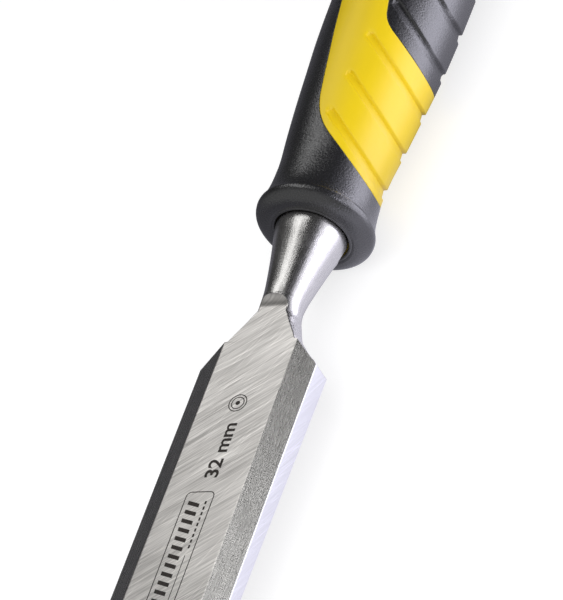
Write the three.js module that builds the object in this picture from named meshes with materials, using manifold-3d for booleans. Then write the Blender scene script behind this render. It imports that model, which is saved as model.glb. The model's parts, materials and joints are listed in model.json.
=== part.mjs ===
// Bench chisel: a forged steel blade with its tang in a two-colour moulded handle with a steel strike cap.
//
// Frame: millimetres. The origin is the centre of the flat strike face at the end of the handle.
// +X runs along the tool towards the cutting edge, +Y is across the blade, and +Z is the bevelled side,
// so the blade's flat back faces -Z. The tool's axis is the X axis.

import * as THREE from "three";
import { mergeVertices } from "three/addons/utils/BufferGeometryUtils.js";
import Module from "manifold-3d";

// Driving dimensions along the tool.
const handleLength = 128; // strike face to the collar's front face
const bladeReach = 140; // collar's front face to the cutting edge
const shoulderReach = 34.3; // collar to the shoulder's inner corners
const fullWidthReach = 40.4; // collar to where the blade has its full width
const collarX = handleLength;
const edgeX = collarX + bladeReach;
const shoulderX = collarX + shoulderReach;

// Blade.
const bladeWidth = 32;
const backZ = -5.4; // flat back, below the tool's axis
const shoulderHalfWidth = 9.95;
const shoulderThickness = 8.3;
const thicknessTaper = 0.031; // thickness lost per millimetre towards the edge
const wallHeight = 5.75; // upright side wall at the shoulder
const wallTaper = 0.028;
const edgeBevelAngle = THREE.MathUtils.degToRad(25);
const edgeLand = 0.25; // height of the honed edge itself

// Bolster and tang.
const bolsterSeat = 3.2; // how far the bolster goes into the collar
const bolsterRadius = 8.95; // at the collar's front face
const waistReach = 22; // past the waist the neck stands on the plane of the flat back
const grindRunout = 3.25; // radius that ends the ground top face
const grindReach = 25; // collar to where that radius begins
const tangEnd = 56;
const tangRootRadius = 6.2; // across the tang's corners
const tangTipRadius = 3.6;

// Handle.
const gap = 0.3; // clearance between neighbouring pieces
const gripDepth = 2.2; // thickness of the soft grips on the core
const collarWall = 3.5; // front wall of the front grip
const collarBoreRadius = 9.2;
const coreFrontRadius = 10.8;
const handleEndX = 3.5; // rear rim of the moulded handle
const rimRadius = 15.6; // just in front of the rounded rear rim
const rimRound = 1;
const axisLift = 1.2; // the grip's centre line is arched upwards by this much
const liftFrontX = 101; // full lift behind this, and none inside the collar
const liftRearX = 40; // full lift in front of this, and none at the strike cap
const grooveWidth = 2;
const grooveDepth = 0.7;
const grooveAngle = THREE.MathUtils.degToRad(42); // away from the tool's axis
const grooveLength = 30; // from its round start to past the handle's side

// Strike cap.
const capRadius = 13.6;
const capThickness = 4.8;
const capEdgeRadius = 1.8;
const capStemRadius = 5;
const capStemLength = 14;

const borderLengthShare = 0.7; // share of the gap by which a grip's slanted border is moved along the tool
const borderSideShare = 1.2; // and across it

const ringSegments = 32;
const gripSteps = 18;
const collarSteps = 12;
const neckSteps = 24;
const rimSteps = 6;
const arcSteps = 8;
const cutterReach = 30; // half height of the upright prisms that divide the handle
const past = 10; // how far a cutting solid runs past the surface that it cuts

const wasm = await Module();
wasm.setup();

// A closed three.js geometry as a solid that can be cut and joined.
function solid(geometry) {
  const bare = geometry.index ? geometry.toNonIndexed() : geometry.clone();
  bare.deleteAttribute("normal");
  bare.deleteAttribute("uv");
  const merged = mergeVertices(bare, 1e-4);
  return new wasm.Manifold(
    new wasm.Mesh({
      numProp: 3,
      vertProperties: new Float32Array(merged.attributes.position.array),
      triVerts: new Uint32Array(merged.index.array),
    }),
  );
}

// The solid back as a geometry that a mesh can hold.
function geometryOf(body) {
  const mesh = body.getMesh();
  const geometry = new THREE.BufferGeometry();
  geometry.setAttribute("position", new THREE.BufferAttribute(mesh.vertProperties, 3));
  geometry.setIndex(new THREE.BufferAttribute(mesh.triVerts, 1));
  geometry.computeVertexNormals();
  return geometry;
}

// A body of revolution about the X axis, from points (x, radius) with rising x, closed on the axis.
function turned(points, segments = ringSegments) {
  const first = points[0];
  const last = points[points.length - 1];
  const profile = [
    new THREE.Vector2(0, first.x),
    ...points.map((p) => new THREE.Vector2(p.y, p.x)),
    new THREE.Vector2(0, last.x),
  ];
  return new THREE.LatheGeometry(profile, segments).rotateZ(-Math.PI / 2);
}

// An outline in the XY plane extruded upright through the whole tool.
function uprightPrism(shape) {
  const geometry = new THREE.ExtrudeGeometry(shape, {
    depth: 2 * cutterReach,
    bevelEnabled: false,
    curveSegments: arcSteps,
  });
  return solid(geometry.translate(0, 0, -cutterReach));
}

// Everything on the outer side of a plane.
function halfSpace(point, normal) {
  const size = 2 * edgeX;
  const turn = new THREE.Quaternion().setFromUnitVectors(new THREE.Vector3(0, 0, 1), normal);
  const geometry = new THREE.BoxGeometry(size, size, size).translate(0, 0, size / 2);
  geometry.applyQuaternion(turn);
  return solid(geometry.translate(point.x, point.y, point.z));
}

// ---------------------------------------------------------------- blade

function topZ(x) {
  return backZ + shoulderThickness - thicknessTaper * (x - shoulderX);
}

function wallTopZ(x) {
  return backZ + wallHeight - wallTaper * (x - shoulderX);
}

// The blade's outline from above, with its diagonal shoulders.
function bladePlan() {
  const half = bladeWidth / 2;
  const fullX = collarX + fullWidthReach;
  const plan = new THREE.Shape();
  plan.moveTo(shoulderX, -shoulderHalfWidth);
  plan.lineTo(fullX, -half);
  plan.lineTo(edgeX, -half);
  plan.lineTo(edgeX, half);
  plan.lineTo(fullX, half);
  plan.lineTo(shoulderX, shoulderHalfWidth);
  plan.closePath();
  return plan;
}

// What grinding takes off the top: the tapered face and the curved run-out at the waist.
function topGrind() {
  const high = topZ(collarX) + past;
  const runoutX = collarX + grindReach;
  const section = new THREE.Shape();
  section.moveTo(runoutX, topZ(runoutX));
  section.lineTo(edgeX + past, topZ(edgeX + past));
  section.lineTo(edgeX + past, high);
  section.lineTo(runoutX - grindRunout, high);
  section.lineTo(runoutX - grindRunout, topZ(runoutX) + grindRunout);
  section.absarc(runoutX, topZ(runoutX) + grindRunout, grindRunout, Math.PI, 1.5 * Math.PI, false);
  const geometry = new THREE.ExtrudeGeometry(section, {
    depth: 2 * bladeWidth,
    bevelEnabled: false,
    curveSegments: arcSteps,
  });
  return solid(geometry.translate(0, 0, -bladeWidth).rotateX(Math.PI / 2));
}

// The long bevel on one side, through the top face's edge and the side wall's edge.
function sideBevel(side) {
  const nearTop = new THREE.Vector3(shoulderX, side * shoulderHalfWidth, topZ(shoulderX));
  const nearWall = new THREE.Vector3(shoulderX, (side * bladeWidth) / 2, wallTopZ(shoulderX));
  const farWall = new THREE.Vector3(edgeX, (side * bladeWidth) / 2, wallTopZ(edgeX));
  const across = nearWall.clone().sub(nearTop);
  const along = farWall.sub(nearWall);
  const normal = along.cross(across).normalize();
  return halfSpace(nearTop, normal.z < 0 ? normal.negate() : normal);
}

// The bevel that makes the cutting edge.
function edgeBevel() {
  const point = new THREE.Vector3(edgeX, 0, backZ + edgeLand);
  const normal = new THREE.Vector3(Math.sin(edgeBevelAngle), 0, Math.cos(edgeBevelAngle));
  return halfSpace(point, normal);
}

// The bolster's sections: reach from the collar, half width and half height. It is a round cone down to
// the waist, and then an oval that widens into the blade's shoulder.
const neckCurve = new THREE.CatmullRomCurve3([
  new THREE.Vector3(0, bolsterRadius, bolsterRadius),
  new THREE.Vector3(3.5, 8.45, 8.45),
  new THREE.Vector3(7, 7.5, 7.5),
  new THREE.Vector3(11, 6.8, 6.8),
  new THREE.Vector3(15, 6.1, 6.1),
  new THREE.Vector3(19, 5.4, 5.4),
  new THREE.Vector3(waistReach, 5.25, 5.25),
  new THREE.Vector3(25, 5.7, 4.9),
  new THREE.Vector3(27, 6.4, 5.05),
  new THREE.Vector3(29, 7.3, 5.3),
  new THREE.Vector3(31, 8.4, 5.6),
  new THREE.Vector3(33, 9.6, 5.9),
  new THREE.Vector3(34.8, 10.45, 6.1),
]);

// The round bolster, flared sideways into the blade's shoulder.
function neck() {
  const seat = new THREE.Vector3(-bolsterSeat, bolsterRadius, bolsterRadius);
  const sections = [seat, ...neckCurve.getPoints(neckSteps)];
  const geometry = turned(sections.map((s) => new THREE.Vector2(collarX + s.x, s.y)));
  const position = geometry.attributes.position;
  for (let i = 0; i < position.count; i++) {
    // The lathe's rings are the sections, with one more point on the axis at each end.
    const ring = i % (sections.length + 2);
    const section = sections[THREE.MathUtils.clamp(ring - 1, 0, sections.length - 1)];
    const centre = section.x > waistReach ? backZ + section.z : 0;
    position.setZ(i, centre + (position.getZ(i) * section.z) / section.y);
  }
  return solid(geometry);
}

// The square tang inside the handle, or the pocket for it when it is made larger by a clearance.
function tang(clearance) {
  const points = [
    new THREE.Vector2(tangEnd - clearance, tangTipRadius + clearance),
    new THREE.Vector2(collarX - bolsterSeat + gap, tangRootRadius + clearance),
  ];
  return solid(turned(points, 4).rotateX(Math.PI / 4));
}

function blade() {
  const plate = new THREE.ExtrudeGeometry(bladePlan(), {
    depth: shoulderThickness + 1,
    bevelEnabled: false,
  });
  return solid(plate.translate(0, 0, backZ))
    .subtract(sideBevel(1))
    .subtract(sideBevel(-1))
    .subtract(edgeBevel())
    .add(neck())
    .subtract(topGrind())
    .add(tang(0));
}

// ---------------------------------------------------------------- handle

// How far the handle's centre line lies above the tool's axis.
function liftAt(x) {
  const front = 1 - THREE.MathUtils.smoothstep(x, liftFrontX, collarX - collarWall);
  const rear = THREE.MathUtils.smoothstep(x, 0, liftRearX);
  return axisLift * front * rear;
}

function lifted(geometry) {
  const position = geometry.attributes.position;
  for (let i = 0; i < position.count; i++) {
    position.setZ(i, position.getZ(i) + liftAt(position.getX(i)));
  }
  return geometry;
}

// The handle's outer radius along the tool, from the rear rim to the collar's front face.
const gripCurve = new THREE.SplineCurve([
  new THREE.Vector2(handleEndX + 2.5, rimRadius),
  new THREE.Vector2(14, 16),
  new THREE.Vector2(28, 16.7),
  new THREE.Vector2(41, 16.85),
  new THREE.Vector2(58, 16.7),
  new THREE.Vector2(72, 16.2),
  new THREE.Vector2(84, 15.35),
  new THREE.Vector2(94, 14.6),
  new THREE.Vector2(104, 13.7),
  new THREE.Vector2(111, 13.2),
  new THREE.Vector2(115.5, 13.3),
]);
const collarCurve = new THREE.SplineCurve([
  new THREE.Vector2(118.5, 13.5),
  new THREE.Vector2(121, 13.9),
  new THREE.Vector2(123, 14.6),
  new THREE.Vector2(124.5, 14.85),
  new THREE.Vector2(126, 14.35),
  new THREE.Vector2(127.2, 13.1),
  new THREE.Vector2(collarX, 11.2),
]);

// The whole handle's outer form, shrunk on all sides by an inset.
function outerForm(inset) {
  const rim = new THREE.Vector2(handleEndX, rimRadius - rimRound);
  const points = [rim, ...gripCurve.getPoints(gripSteps), ...collarCurve.getPoints(collarSteps)];
  const shrunk = points.map((p) => new THREE.Vector2(p.x, p.y - inset));
  return solid(lifted(turned(shrunk)));
}

// The form under the soft grips: straight inside the collar, and open through the rear rim.
function innerForm(inset, frontX) {
  const points = [new THREE.Vector2(-past, rimRadius - inset)];
  for (const p of gripCurve.getPoints(gripSteps)) {
    points.push(new THREE.Vector2(p.x, p.y - inset));
  }
  points.push(new THREE.Vector2(frontX, coreFrontRadius + gripDepth - inset));
  return solid(lifted(turned(points)));
}

// The yellow field's two borders seen from above. They run at 45 degrees over the sides of the handle
// and nearly along it over the top, and the mould makes them the same above and below.
const borderSlope = 0.134;
const wideRound = 7.5;
const tightRound = 3;
const frontBorder = sweptBorder({ x: 102.6, y: -0.2, round: wideRound }, { x: 48, round: tightRound });
const rearBorder = sweptBorder({ x: 72.1, y: 8.7, round: tightRound }, { x: 28, round: wideRound });

// A border with a near and a far corner, whose ends run off both sides of the handle at 45 degrees.
function sweptBorder(near, far) {
  const farY = near.y - borderSlope * (near.x - far.x);
  const runOff = 20;
  return [
    { x: near.x + runOff, y: near.y + runOff },
    near,
    { ...far, y: farY },
    { x: far.x - runOff, y: farY - runOff },
  ];
}

// The point at a distance from one corner towards another.
function towards(from, to, distance) {
  const share = distance / Math.hypot(to.x - from.x, to.y - from.y);
  return { x: from.x + (to.x - from.x) * share, y: from.y + (to.y - from.y) * share };
}

// A border with rounded corners, moved away from the yellow field to clear it on every stretch.
// The side is 1 for what lies in front of the field and -1 for what lies behind it.
function borderShape(border, side, clearance) {
  const shiftX = side * borderLengthShare * clearance;
  const shiftY = -side * borderSideShare * clearance;
  const at = (p) => [p.x + shiftX, p.y + shiftY];
  const shape = new THREE.Shape();
  shape.moveTo(...at(border[0]));
  for (const i of [1, 2]) {
    const corner = border[i];
    shape.lineTo(...at(towards(corner, border[i - 1], corner.round)));
    shape.quadraticCurveTo(...at(corner), ...at(towards(corner, border[i + 1], corner.round)));
  }
  shape.lineTo(...at(border[3]));
  return shape;
}

// What the front grip covers, seen from above.
function frontField(clearance) {
  const shape = borderShape(frontBorder, 1, clearance);
  shape.lineTo(frontBorder[3].x, -cutterReach);
  shape.lineTo(collarX + past, -cutterReach);
  shape.lineTo(collarX + past, frontBorder[0].y);
  shape.closePath();
  return uprightPrism(shape);
}

// What the rear grip covers, seen from above.
function rearField(clearance) {
  const shape = borderShape(rearBorder, -1, clearance);
  shape.lineTo(-past, rearBorder[3].y);
  shape.lineTo(-past, cutterReach);
  shape.lineTo(rearBorder[0].x, cutterReach);
  shape.closePath();
  return uprightPrism(shape);
}

// A finger groove: a slanted strip with a round start that follows the surface over the handle's side.
// It starts at (x, y) and runs off the side that y points to.
function groove(x, y) {
  const side = Math.sign(y);
  const half = grooveWidth / 2;
  const strip = new THREE.Shape();
  strip.moveTo(0, -half);
  strip.lineTo(grooveLength, -half);
  strip.lineTo(grooveLength, half);
  strip.lineTo(0, half);
  strip.absarc(0, 0, half, Math.PI / 2, 1.5 * Math.PI, false);
  const direction = side > 0 ? grooveAngle : grooveAngle - Math.PI;
  const geometry = new THREE.ExtrudeGeometry(strip, {
    depth: 2 * cutterReach,
    bevelEnabled: false,
    curveSegments: arcSteps / 2,
  });
  return solid(geometry.translate(0, 0, -cutterReach).rotateZ(direction).translate(x, y, 0));
}

function cutGrooves(body, starts) {
  const below = outerForm(grooveDepth);
  return starts.reduce((cut, [x, y]) => cut.subtract(groove(x, y).subtract(below)), body);
}

const coreGrooves = [
  [100.9, 3.4],
  [89.4, 5],
  [77.2, 6.8],
  [45, -4.5],
  [33, -3.5],
];
const rearGripGrooves = [
  [65.6, 9.8],
  [49.7, 8],
  [32.4, 5.9],
  [15.6, 3.8],
];

// A round pocket or stem along the axis between two places.
function round(fromX, toX, radius) {
  const points = [new THREE.Vector2(fromX, radius), new THREE.Vector2(toX, radius)];
  return solid(turned(points));
}

function frontGrip() {
  return outerForm(0)
    .intersect(frontField(gap))
    .subtract(innerForm(gripDepth, collarX - collarWall))
    .subtract(round(collarX - past, collarX + past, collarBoreRadius));
}

function rearGrip() {
  const sleeve = outerForm(0)
    .intersect(rearField(gap))
    .subtract(innerForm(gripDepth, collarX - collarWall))
    .subtract(round(-past, capThickness + gap, capRadius + gap));
  return cutGrooves(sleeve, rearGripGrooves);
}

// The hard core: recessed under the grips, and flush with them in the yellow field.
function handleCore() {
  const flush = outerForm(0).subtract(frontField(0)).subtract(rearField(0));
  const body = innerForm(gripDepth + gap, collarX - collarWall - gap)
    .add(flush)
    .subtract(round(-past, capThickness + gap, 2 * capRadius))
    .subtract(tang(gap))
    .subtract(round(0, capThickness + capStemLength + gap, capStemRadius + gap));
  return cutGrooves(body, coreGrooves);
}

// The steel cap: a flat strike face with a rounded rim, on a stem that is pressed into the core.
function strikeCap() {
  const rim = new THREE.EllipseCurve(
    capEdgeRadius,
    capRadius - capEdgeRadius,
    capEdgeRadius,
    capEdgeRadius,
    Math.PI,
    Math.PI / 2,
    true,
  );
  const points = [
    ...rim.getPoints(rimSteps),
    new THREE.Vector2(capThickness, capRadius),
    new THREE.Vector2(capThickness, capStemRadius),
    new THREE.Vector2(capThickness + capStemLength, capStemRadius),
  ];
  return solid(turned(points));
}

// ---------------------------------------------------------------- assembly

const steel = { color: 0xb9b8b4, roughness: 0.32, metalness: 1 };
const yellowPlastic = { color: 0xe6c41e, roughness: 0.45, metalness: 0 };
const blackRubber = { color: 0x1b1b1e, roughness: 0.55, metalness: 0 };

function piece(name, body, look) {
  const mesh = new THREE.Mesh(geometryOf(body), new THREE.MeshStandardMaterial(look));
  mesh.name = name;
  return mesh;
}

const chisel = new THREE.Group();
chisel.add(
  piece("blade", blade(), steel),
  piece("handle_core", handleCore(), yellowPlastic),
  piece("front_grip", frontGrip(), blackRubber),
  piece("rear_grip", rearGrip(), blackRubber),
  piece("strike_cap", strikeCap(), steel),
);

export default chisel;
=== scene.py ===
"""Bench chisel: the fine visual model, its materials, light and camera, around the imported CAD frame.

The script works in millimetres in the part's own frame and turns them into metres when it makes a mesh.
The tool lies along X with the cutting edge at +X, Y is across the blade, and +Z is the bevelled side.
"""

import json
import math

import bpy
import numpy as np
from mathutils import Matrix, Vector


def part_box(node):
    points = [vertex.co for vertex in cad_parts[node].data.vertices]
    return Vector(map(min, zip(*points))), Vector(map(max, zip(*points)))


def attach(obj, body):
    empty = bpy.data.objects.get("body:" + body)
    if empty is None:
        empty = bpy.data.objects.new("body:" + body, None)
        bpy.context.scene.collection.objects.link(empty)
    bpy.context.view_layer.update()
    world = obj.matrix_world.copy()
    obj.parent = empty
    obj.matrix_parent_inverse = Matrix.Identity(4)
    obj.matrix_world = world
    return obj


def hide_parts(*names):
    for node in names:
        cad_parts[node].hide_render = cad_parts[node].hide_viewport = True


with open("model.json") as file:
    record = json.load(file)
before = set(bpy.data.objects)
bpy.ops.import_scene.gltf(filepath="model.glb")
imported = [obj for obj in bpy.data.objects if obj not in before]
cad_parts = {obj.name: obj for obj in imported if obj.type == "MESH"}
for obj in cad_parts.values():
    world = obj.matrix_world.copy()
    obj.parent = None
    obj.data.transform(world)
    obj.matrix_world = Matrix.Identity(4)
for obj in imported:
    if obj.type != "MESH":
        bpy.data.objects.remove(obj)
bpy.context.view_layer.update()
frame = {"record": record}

MM = 0.001


def cad_box(node):
    """A CAD node's lowest and highest corner in millimetres."""
    low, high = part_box(node)
    return low / MM, high / MM


def mount_point(name):
    """The place of one of the record's mounts in millimetres."""
    mount = next(m for m in frame["record"]["mounts"] if m["name"] == name)
    return Vector(mount["pos_m"]) / MM


# Sizes that come from the CAD frame.
COLLAR_X = cad_box("front_grip")[1].x
EDGE_X = cad_box("blade")[1].x
HALF_WIDTH = cad_box("blade")[1].y
BOLSTER_RADIUS = cad_box("blade")[1].z
TANG_END_X = cad_box("blade")[0].x
BACK_Z = mount_point("flat_back").z
RIM_X = cad_box("rear_grip")[0].x
CORE_REAR_X, CORE_FRONT_X = cad_box("handle_core")[0].x, cad_box("handle_core")[1].x
CAP_RADIUS = cad_box("strike_cap")[1].y
STEM_END_X = cad_box("strike_cap")[1].x

# Blade sizes, the same as in the CAD source.
SHOULDER_X = COLLAR_X + 34.3
FULL_WIDTH_X = COLLAR_X + 40.4
SHOULDER_HALF_WIDTH = 9.95
SHOULDER_THICKNESS = 8.3
THICKNESS_TAPER = 0.031
WALL_HEIGHT = 5.75
WALL_TAPER = 0.028
BEVEL_SPREAD = (HALF_WIDTH - SHOULDER_HALF_WIDTH) / (SHOULDER_THICKNESS - WALL_HEIGHT)
EDGE_BEVEL = math.tan(math.radians(25))
EDGE_LAND = 0.25
RUNOUT_X = COLLAR_X + 25
RUNOUT_RADIUS = 3.25
SEAT_X = COLLAR_X - 3.2
TANG_ROOT_RADIUS = 6.2
TANG_TIP_RADIUS = 3.6

# Fine sizes of the blade that the CAD source leaves out.
CHAMFER = 0.12
NOT_GROUND = 1000.0
PLATE_END_SLOPE = 0.85
BEVEL_END_SLOPE = 0.25
FLARE_SQUARENESS = 0.3
RUNOUT_POWER = 2.25

# Handle sizes, the same as in the CAD source.
GAP = 0.3
GRIP_DEPTH = 2.2
COLLAR_WALL = 3.5
COLLAR_BORE_RADIUS = 9.2
CORE_FRONT_RADIUS = 10.8
CAP_THICKNESS = 4.8
CAP_STEM_RADIUS = 5.0
AXIS_LIFT = 1.2
LIFT_FRONT_X = 101
LIFT_REAR_X = 40
RIM_RADIUS = 15.6

# Fine sizes of the handle that the CAD source leaves out.
RIM_ROUND = 3.0
RIM_INNER_RADIUS = 14.5
WAIST_X = COLLAR_X - 12.5
WAIST_RADIUS = 13.3


# ---------------------------------------------------------------- shared mesh tools


def smoothstep(x, start, end):
    t = np.clip((np.asarray(x, float) - start) / (end - start), 0, 1)
    return t * t * (3 - 2 * t)


def catmull_rom(points, steps=24):
    """A smooth curve through the given points, as many points."""
    p = np.array(points, float)
    p = np.vstack([p[:1], p, p[-1:]])
    t = np.linspace(0, 1, steps, endpoint=False)[:, None]
    curve = []
    for a, b, c, d in zip(p[:-3], p[1:-2], p[2:-1], p[3:]):
        v0, v1 = (c - a) / 2, (d - b) / 2
        curve.append((2 * b - 2 * c + v0 + v1) * t**3 + (3 * c - 3 * b - 2 * v0 - v1) * t**2 + v0 * t + b)
    return np.vstack(curve + [p[-1:]])


def arc(centre, radii, start, end, count):
    """Points on a stretch of an ellipse, with its angles in degrees."""
    a = np.radians(np.linspace(start, end, count))
    return np.stack([centre[0] + radii[0] * np.cos(a), centre[1] + radii[1] * np.sin(a)], 1)


def make_piece(name, points, faces, materials, sharp_angle, face_materials=None):
    """A smooth-shaded mesh object, with edges sharper than an angle left crisp. It rides on the one body."""
    mesh = bpy.data.meshes.new(name)
    mesh.from_pydata((np.asarray(points, float) * MM).tolist(), [], faces)
    for material in materials:
        mesh.materials.append(material)
    if face_materials is not None:
        mesh.polygons.foreach_set("material_index", np.asarray(face_materials, np.int32))
    mesh.polygons.foreach_set("use_smooth", np.ones(len(mesh.polygons), bool))
    mesh.set_sharp_from_angle(angle=math.radians(sharp_angle))
    mesh.update()
    piece = bpy.data.objects.new(name, mesh)
    bpy.context.scene.collection.objects.link(piece)
    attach(piece, "root")
    return piece


def loft(rings):
    """Points and faces of a closed skin over rings that each have the same number of points."""
    count = len(rings[0])
    points = [tuple(p) for ring in rings for p in ring]
    faces = []
    for i in range(len(rings) - 1):
        for k in range(count):
            n = (k + 1) % count
            faces.append((i * count + k, i * count + n, (i + 1) * count + n, (i + 1) * count + k))
    for i, turn in ((0, -1), (len(rings) - 1, 1)):
        middle = len(points)
        points.append(tuple(np.mean(rings[i], 0)))
        for k in range(count):
            edge = (i * count + k, i * count + (k + 1) % count)
            faces.append((*edge[::turn], middle))
    return points, faces


# ---------------------------------------------------------------- material tools


class Shader:
    """A material's node tree with short calls for the nodes that this script uses."""

    def __init__(self, name):
        self.material = bpy.data.materials.new(name)
        self.material.use_nodes = True
        self.tree = self.material.node_tree
        self.surface = self.tree.nodes["Principled BSDF"]
        self.place = self.node("ShaderNodeTexCoord").outputs["Object"]

    def node(self, kind, **settings):
        made = self.tree.nodes.new(kind)
        for key, value in settings.items():
            setattr(made, key, value)
        return made

    def link(self, source, target):
        self.tree.links.new(source, target)

    def set(self, **values):
        """Constants on the shader's own sockets."""
        for key, value in values.items():
            self.surface.inputs[key.replace("_", " ")].default_value = value

    def feed(self, node, socket, value):
        """A constant or another node's output into a socket."""
        if isinstance(value, (int, float, tuple)):
            node.inputs[socket].default_value = value
        else:
            self.link(value, node.inputs[socket])

    def mapped(self, scale=(1, 1, 1), turn=(0, 0, 0)):
        """The place on the object in millimetres, turned by degrees and then scaled."""
        turned = self.node("ShaderNodeMapping", vector_type="POINT")
        self.link(self.place, turned.inputs["Vector"])
        turned.inputs["Rotation"].default_value = [math.radians(a) for a in turn]
        scaled = self.node("ShaderNodeMapping", vector_type="POINT")
        self.link(turned.outputs[0], scaled.inputs["Vector"])
        scaled.inputs["Scale"].default_value = [s / MM for s in scale]
        return scaled.outputs[0]

    def noise(self, vector, detail=2.0, rough=0.5):
        made = self.node("ShaderNodeTexNoise")
        self.link(vector, made.inputs["Vector"])
        made.inputs["Scale"].default_value = 1.0
        made.inputs["Detail"].default_value = detail
        made.inputs["Roughness"].default_value = rough
        return made.outputs["Fac"]

    def span(self, value, low, high, to_low=0.0, to_high=1.0):
        """A value stretched from one range to another, and held inside it."""
        made = self.node("ShaderNodeMapRange", clamp=True)
        self.feed(made, "Value", value)
        ends = {"From Min": low, "From Max": high, "To Min": to_low, "To Max": to_high}
        for socket, number in ends.items():
            made.inputs[socket].default_value = number
        return made.outputs[0]

    def math(self, operation, a, b=0.0):
        made = self.node("ShaderNodeMath", operation=operation)
        self.feed(made, 0, a)
        self.feed(made, 1, b)
        return made.outputs[0]

    def mix(self, share, a, b):
        """Two colours mixed by a share."""
        made = self.node("ShaderNodeMix", data_type="RGBA")
        self.feed(made, "Factor", share)
        for i, value in ((6, a), (7, b)):
            if isinstance(value, tuple):
                made.inputs[i].default_value = (*value, 1.0)
            else:
                self.link(value, made.inputs[i])
        return made.outputs[2]

    def bump(self, heights):
        """Bumps in the surface: pairs of a height in 0 to 1 and its real depth in millimetres."""
        normal = None
        for height, depth in heights:
            made = self.node("ShaderNodeBump")
            made.inputs["Strength"].default_value = 1.0
            made.inputs["Distance"].default_value = depth * MM
            self.link(height, made.inputs["Height"])
            if normal is not None:
                self.link(normal, made.inputs["Normal"])
            normal = made.outputs["Normal"]
        self.link(normal, self.surface.inputs["Normal"])

    def use(self, socket, value):
        self.link(value, self.surface.inputs[socket])


# ---------------------------------------------------------------- materials


def plastic(name, colour, deep, rough, index, specular, grain):
    """A moulded satin plastic with a fine eroded mould texture and faint flow and handling marks."""
    s = Shader(name)
    cloud = s.span(s.noise(s.mapped((0.06, 0.06, 0.06)), detail=3), 0.35, 0.65)
    flow = s.span(s.noise(s.mapped((0.03, 0.35, 0.35)), detail=4), 0.35, 0.7)
    s.use("Base Color", s.mix(s.math("MULTIPLY", cloud, flow), colour, deep))
    pits = s.noise(s.mapped((2.0, 2.0, 2.0)), detail=2, rough=0.6)
    rub = s.span(s.noise(s.mapped((0.25, 0.9, 0.9), (0, 0, 35)), detail=5, rough=0.7), 0.56, 0.74)
    worn = s.math("MULTIPLY", rub, -0.05)
    s.use("Roughness", s.math("ADD", s.span(pits, 0.3, 0.7, rough - 0.05, rough + 0.05), worn))
    s.bump([(pits, grain), (cloud, 0.02)])
    s.set(IOR=index, Specular_IOR_Level=specular)
    return s.material


def ground_steel(name, colour, turn, stretch, rough, contrast, wheel_depth):
    """Steel ground flat: parallel wheel marks, the broadest as faint bands, and a few stray scratches.

    The turn brings the marks' direction onto X, and the stretch scales Y and Z across them."""
    s = Shader(name)

    def across(along, size):
        return along, size * stretch[0], size * stretch[1]

    fine = s.noise(s.mapped(across(0.08, 3.1), turn), detail=2, rough=0.6)
    medium = s.noise(s.mapped(across(0.03, 1.5), turn), detail=3, rough=0.7)
    broad = s.noise(s.mapped(across(0.012, 0.3), turn), detail=3)
    askew = tuple(a + 7 * (a != 0) for a in turn)
    stray = s.span(s.noise(s.mapped(across(0.05, 1.5), askew), detail=3), 0.60, 0.66)
    cross = s.span(s.noise(s.mapped(across(0.06, 1.7), tuple(a * 0.55 for a in turn)), detail=2), 0.60, 0.66)
    marks = s.math("ADD", s.math("MULTIPLY", fine, 0.5), s.math("MULTIPLY", medium, 0.35))
    marks = s.math("ADD", marks, s.math("MULTIPLY", broad, 0.15))
    level = s.span(marks, 0.39, 0.61, -contrast, contrast)
    level = s.math("ADD", level, s.math("MULTIPLY", stray, contrast))
    level = s.math("ADD", level, s.math("MULTIPLY", cross, contrast * 0.8))
    tinted = s.node("ShaderNodeVectorMath", operation="SCALE")
    tinted.inputs[0].default_value = colour
    s.link(s.math("ADD", level, 1.0), tinted.inputs["Scale"])
    s.use("Base Color", tinted.outputs[0])
    s.use("Roughness", s.span(marks, 0.36, 0.64, rough + 0.07, rough - 0.07))
    s.bump([(marks, wheel_depth)])
    s.set(Metallic=1.0)
    return s.material


def polished_steel(name, colour, rough, cross_depth):
    """The forged and polished bolster: belt marks along it, and finer ones round it."""
    s = Shader(name)
    along = s.noise(s.mapped((0.12, 3.4, 3.4)), detail=4, rough=0.65)
    around = s.noise(s.mapped((5.0, 0.5, 0.5), (0, 0, 12)), detail=2, rough=0.5)
    cloud = s.span(s.noise(s.mapped((0.12, 0.3, 0.3)), detail=3), 0.35, 0.7)
    s.use("Base Color", s.mix(s.span(along, 0.35, 0.7), colour, tuple(0.86 * c for c in colour)))
    dull = s.math("MULTIPLY", cloud, 0.05)
    s.use("Roughness", s.math("ADD", s.span(along, 0.3, 0.7, rough + 0.05, rough - 0.04), dull))
    s.bump([(along, cross_depth), (around, cross_depth * 0.5)])
    s.set(Metallic=1.0)
    return s.material


def turned_steel(name, colour, rough):
    """The strike cap: lathe rings, a few dents from use."""
    s = Shader(name)
    split = s.node("ShaderNodeSeparateXYZ")
    s.link(s.mapped((1, 1, 1)), split.inputs[0])
    ring = s.math("SQRT", s.math("ADD", s.math("MULTIPLY", split.outputs[1], split.outputs[1]),
                                 s.math("MULTIPLY", split.outputs[2], split.outputs[2])))
    merged = s.node("ShaderNodeCombineXYZ")
    s.link(s.math("MULTIPLY", ring, 4.0), merged.inputs[0])
    s.link(s.math("MULTIPLY", split.outputs[0], 4.0), merged.inputs[1])
    rings = s.noise(merged.outputs[0], detail=3, rough=0.6)
    dents = s.span(s.noise(s.mapped((0.35, 0.35, 0.35)), detail=2), 0.42, 0.6)
    s.use("Base Color", s.mix(s.span(rings, 0.3, 0.7), colour, tuple(0.8 * c for c in colour)))
    s.use("Roughness", s.span(rings, 0.3, 0.7, rough - 0.05, rough + 0.08))
    s.bump([(rings, 0.02), (dents, 0.04)])
    s.set(Metallic=1.0)
    return s.material


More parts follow.
